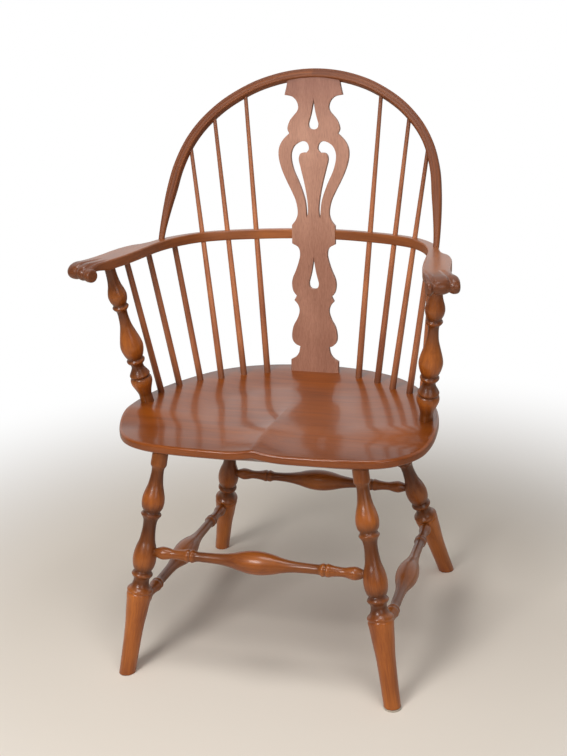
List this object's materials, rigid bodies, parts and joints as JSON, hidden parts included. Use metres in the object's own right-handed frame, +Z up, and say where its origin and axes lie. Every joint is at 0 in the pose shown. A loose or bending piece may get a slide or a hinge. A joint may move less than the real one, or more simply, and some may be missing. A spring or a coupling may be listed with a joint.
{
  "type": "chair",
  "caption": "Windsor armchair with a bent bow over a bent arm rail, pierced back splat, turned spindles, shaped seat and raked turned legs joined by stretchers.",
  "frame": {"origin": "on the floor, under the middle of the chair", "axes": "+Z up, the front faces -Y, +X to the right of someone who faces the front"},
  "size_m": [0.6966, 0.5496, 1.0284],
  "materials": {
    "seat_wood": "gloss lacquer",
    "leg_wood": "satin lacquer",
    "stretcher_wood": "satin lacquer",
    "post_wood": "satin lacquer",
    "arm_wood": "satin lacquer",
    "bow_wood": "satin lacquer",
    "splat_wood": "satin lacquer",
    "spindle_wood": "satin lacquer",
    "felt": "matt felt"
  },
  "bodies": {
    "root": {"arm_post_left": "post_wood", "arm_post_right": "post_wood", "arm_rail": "arm_wood", "bow": "bow_wood", "foot_disc": "felt", "hand_left": "arm_wood", "hand_right": "arm_wood", "knuckle_left": "arm_wood", "knuckle_right": "arm_wood", "leg_back_left": "leg_wood", "leg_back_right": "leg_wood", "leg_front_left": "leg_wood", "leg_front_right": "leg_wood", "seat": "seat_wood", "spindle_long_left_1": "spindle_wood", "spindle_long_left_2": "spindle_wood", "spindle_long_left_3": "spindle_wood", "spindle_long_right_1": "spindle_wood", "spindle_long_right_2": "spindle_wood", "spindle_long_right_3": "spindle_wood", "spindle_short_left_1": "spindle_wood", "spindle_short_left_2": "spindle_wood", "spindle_short_left_3": "spindle_wood", "spindle_short_right_1": "spindle_wood", "spindle_short_right_2": "spindle_wood", "spindle_short_right_3": "spindle_wood", "splat": "splat_wood", "stretcher_back": "stretcher_wood", "stretcher_front": "stretcher_wood", "stretcher_left": "stretcher_wood", "stretcher_right": "stretcher_wood"}
  },
  "joints": []
}
